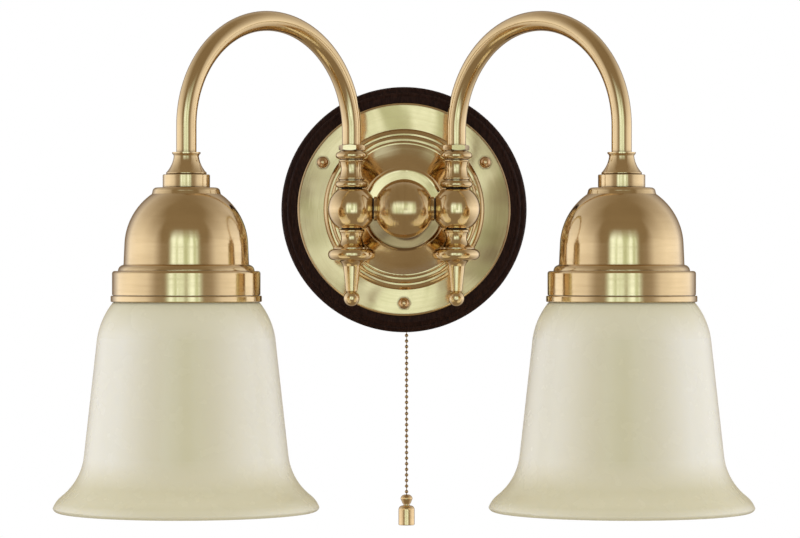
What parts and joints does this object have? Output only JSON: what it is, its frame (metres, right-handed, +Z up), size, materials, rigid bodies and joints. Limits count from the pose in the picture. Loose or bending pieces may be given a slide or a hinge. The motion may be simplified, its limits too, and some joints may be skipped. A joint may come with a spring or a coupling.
{
  "type": "wall sconce",
  "caption": "Wall sconce with arched brass arms, flared glass bell shades, a round wooden backplate and a bead pull chain that works its switch.",
  "frame": {"origin": "centre of the wooden plate's back, on the wall", "axes": "+X to the lamp's right as seen from the room, +Y into the wall, +Z up"},
  "size_m": [0.4486, 0.2313, 0.3431],
  "materials": {
    "brass": "satin, lacquered",
    "chain_brass": "bright",
    "stained_wood": "dark stain, satin",
    "opal_glass": "satin opal, cream",
    "frosted_glass": "frosted",
    "bulb_metal": "plain",
    "porcelain": "glossy",
    "steel": "zinc plated",
    "fibre": "dark fibre",
    "rubber": "matt",
    "lead_insulation": "matt",
    "terminal_plastic": "matt",
    "switch_plastic": "moulded"
  },
  "bodies": {
    "wall_base": {"back_plate": "stained_wood", "rosette": "brass", "hanger_studs": "steel", "cap_nuts": "brass", "hub_backing_plate": "steel", "hub_nut": "steel", "hub_nipple": "steel", "earth_screw": "brass", "hub_ball": "brass", "side_nipples": "steel", "seam_washers": "fibre", "collar_nipples": "steel", "finial_studs": "steel", "hub_leads": "lead_insulation", "terminal_block": "terminal_plastic", "switch_housing": "switch_plastic", "switch_spring": "steel", "chain_guide": "brass", "side_ball_left": "brass", "collar_left": "brass", "finial_left": "brass", "side_ball_right": "brass", "collar_right": "brass", "finial_right": "brass"},
    "pull_link": {"switch_plunger": "switch_plastic", "inner_chain": "chain_brass"},
    "hanging_chain": {"pull_chain": "chain_brass", "chain_bell": "chain_brass", "pull_knob": "chain_brass"},
    "left_arm": {"arm_tube_left": "brass", "arm_lead_left": "lead_insulation", "lock_nut_left": "brass", "neck_left": "brass", "neck_ring_left": "brass", "lamp_nipple_left": "steel", "dome_left": "brass", "gallery_band_left": "brass", "glass_gasket_left": "rubber", "glass_shade_left": "opal_glass", "lampholder_cap_left": "porcelain", "lampholder_body_left": "porcelain", "bulb_cap_left": "bulb_metal", "bulb_glass_left": "frosted_glass"},
    "right_arm": {"arm_tube_right": "brass", "arm_lead_right": "lead_insulation", "lock_nut_right": "brass", "neck_right": "brass", "neck_ring_right": "brass", "lamp_nipple_right": "steel", "dome_right": "brass", "gallery_band_right": "brass", "glass_gasket_right": "rubber", "glass_shade_right": "opal_glass", "lampholder_cap_right": "porcelain", "lampholder_body_right": "porcelain", "bulb_cap_right": "bulb_metal", "bulb_glass_right": "frosted_glass"}
  },
  "joints": [
    {"name": "switch_pull", "type": "slide", "parent": "wall_base", "child": "pull_link", "axis": [0, 0, -1], "range_m": [0, 0.006], "stiffness_N_per_m": 1500, "springref_m": -0.004, "deforming": ["switch_spring"]},
    {"name": "chain_swing", "type": "hinge", "parent": "pull_link", "child": "hanging_chain", "pos_m": [0.00175, -0.0065, -0.0856], "axis": [0, 1, 0], "range_deg": [-30, 30]},
    {"name": "left_swivel", "type": "hinge", "parent": "wall_base", "child": "left_arm", "pos_m": [-0.03495, -0.05136, 0.035], "axis": [0, 0, 1], "range_deg": [-25, 25]},
    {"name": "right_swivel", "type": "hinge", "parent": "wall_base", "child": "right_arm", "pos_m": [0.03495, -0.05136, 0.035], "axis": [0, 0, 1], "range_deg": [-25, 25]}
  ]
}
